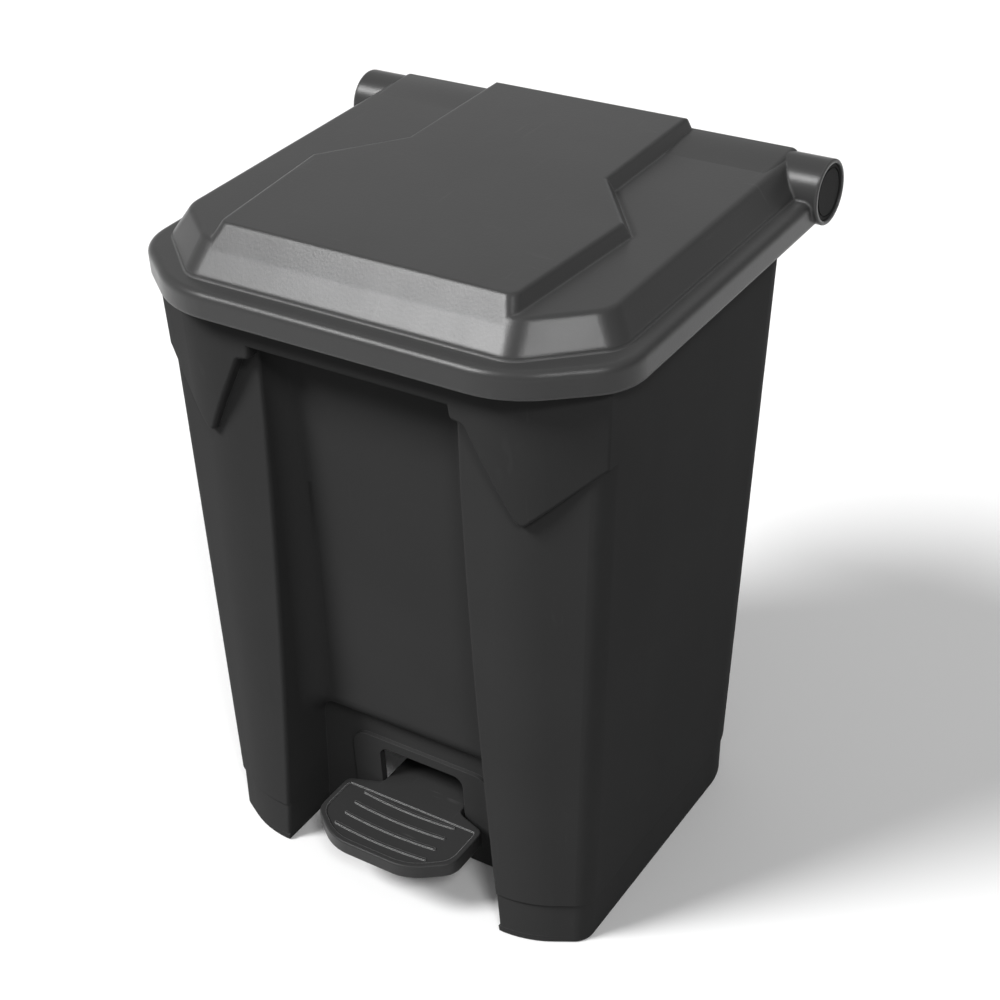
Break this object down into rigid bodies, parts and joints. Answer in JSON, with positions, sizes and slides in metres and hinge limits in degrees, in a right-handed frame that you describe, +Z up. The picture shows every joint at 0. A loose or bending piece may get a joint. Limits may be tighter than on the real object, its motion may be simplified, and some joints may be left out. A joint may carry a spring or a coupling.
{
  "type": "step-on lidded pail",
  "caption": "Free-standing plastic pail with a stepped front recess, a hinged lid with a raised panel, and a foot pedal that opens the lid through a push rod.",
  "frame": {"origin": "centre of the bounding box at floor level", "axes": "+Z up, the front with the pedal faces -Y, +X is across, along the hinge"},
  "size_m": [0.421, 0.391, 0.552],
  "materials": {
    "body_plastic": "fine moulded grain, satin",
    "lid_plastic": "fine moulded grain, satin",
    "cap_plastic": "satin",
    "pedal_plastic": "satin, worn rib edges",
    "seal_rubber": "soft",
    "pad_rubber": "soft",
    "nylon": "natural nylon",
    "steel": "drawn",
    "plated_steel": "zinc plated",
    "screw_steel": "zinc plated"
  },
  "bodies": {
    "body": {"body_shell": "body_plastic", "rim_seal": "seal_rubber", "foot_pads": "pad_rubber", "rear_cover": "body_plastic", "cover_screws": "screw_steel", "rod_guide": "nylon", "hinge_rod": "steel", "hinge_rod_retainers": "steel", "axle_brackets": "body_plastic", "bracket_screws": "screw_steel", "pedal_axle": "steel", "axle_clips": "steel"},
    "lid": {"lid_shell": "lid_plastic", "hinge_cap_left": "cap_plastic", "hinge_cap_right": "cap_plastic", "crank_bracket": "plated_steel", "crank_screws": "screw_steel", "crank_pin": "steel"},
    "pedal": {"pedal_tread": "pedal_plastic", "pedal_lever": "plated_steel", "tread_screws": "screw_steel", "lever_bushes": "nylon", "foot_pin": "steel", "foot_pin_clips": "steel"},
    "push_rod": {"push_rod": "steel", "rod_foot": "nylon", "rod_head": "nylon"}
  },
  "joints": [
    {"name": "lid_hinge", "type": "hinge", "parent": "body", "child": "lid", "pos_m": [0, 0.1705, 0.518], "axis": [-1, 0, 0], "range_deg": [0, 80]},
    {"name": "pedal_pivot", "type": "hinge", "parent": "body", "child": "pedal", "pos_m": [0, -0.03, 0.046], "axis": [1, 0, 0], "range_deg": [0, 9.17]},
    {"name": "rod_pivot", "type": "hinge", "parent": "pedal", "child": "push_rod", "pos_m": [0, 0.13091, 0.03314], "axis": [1, 0, 0], "range_deg": [-9.17, 0]}
  ],
  "couplings": [
    {"joint": "pedal_pivot", "follows": "lid_hinge", "ratio": 0.11456},
    {"joint": "rod_pivot", "follows": "lid_hinge", "ratio": -0.11456}
  ]
}
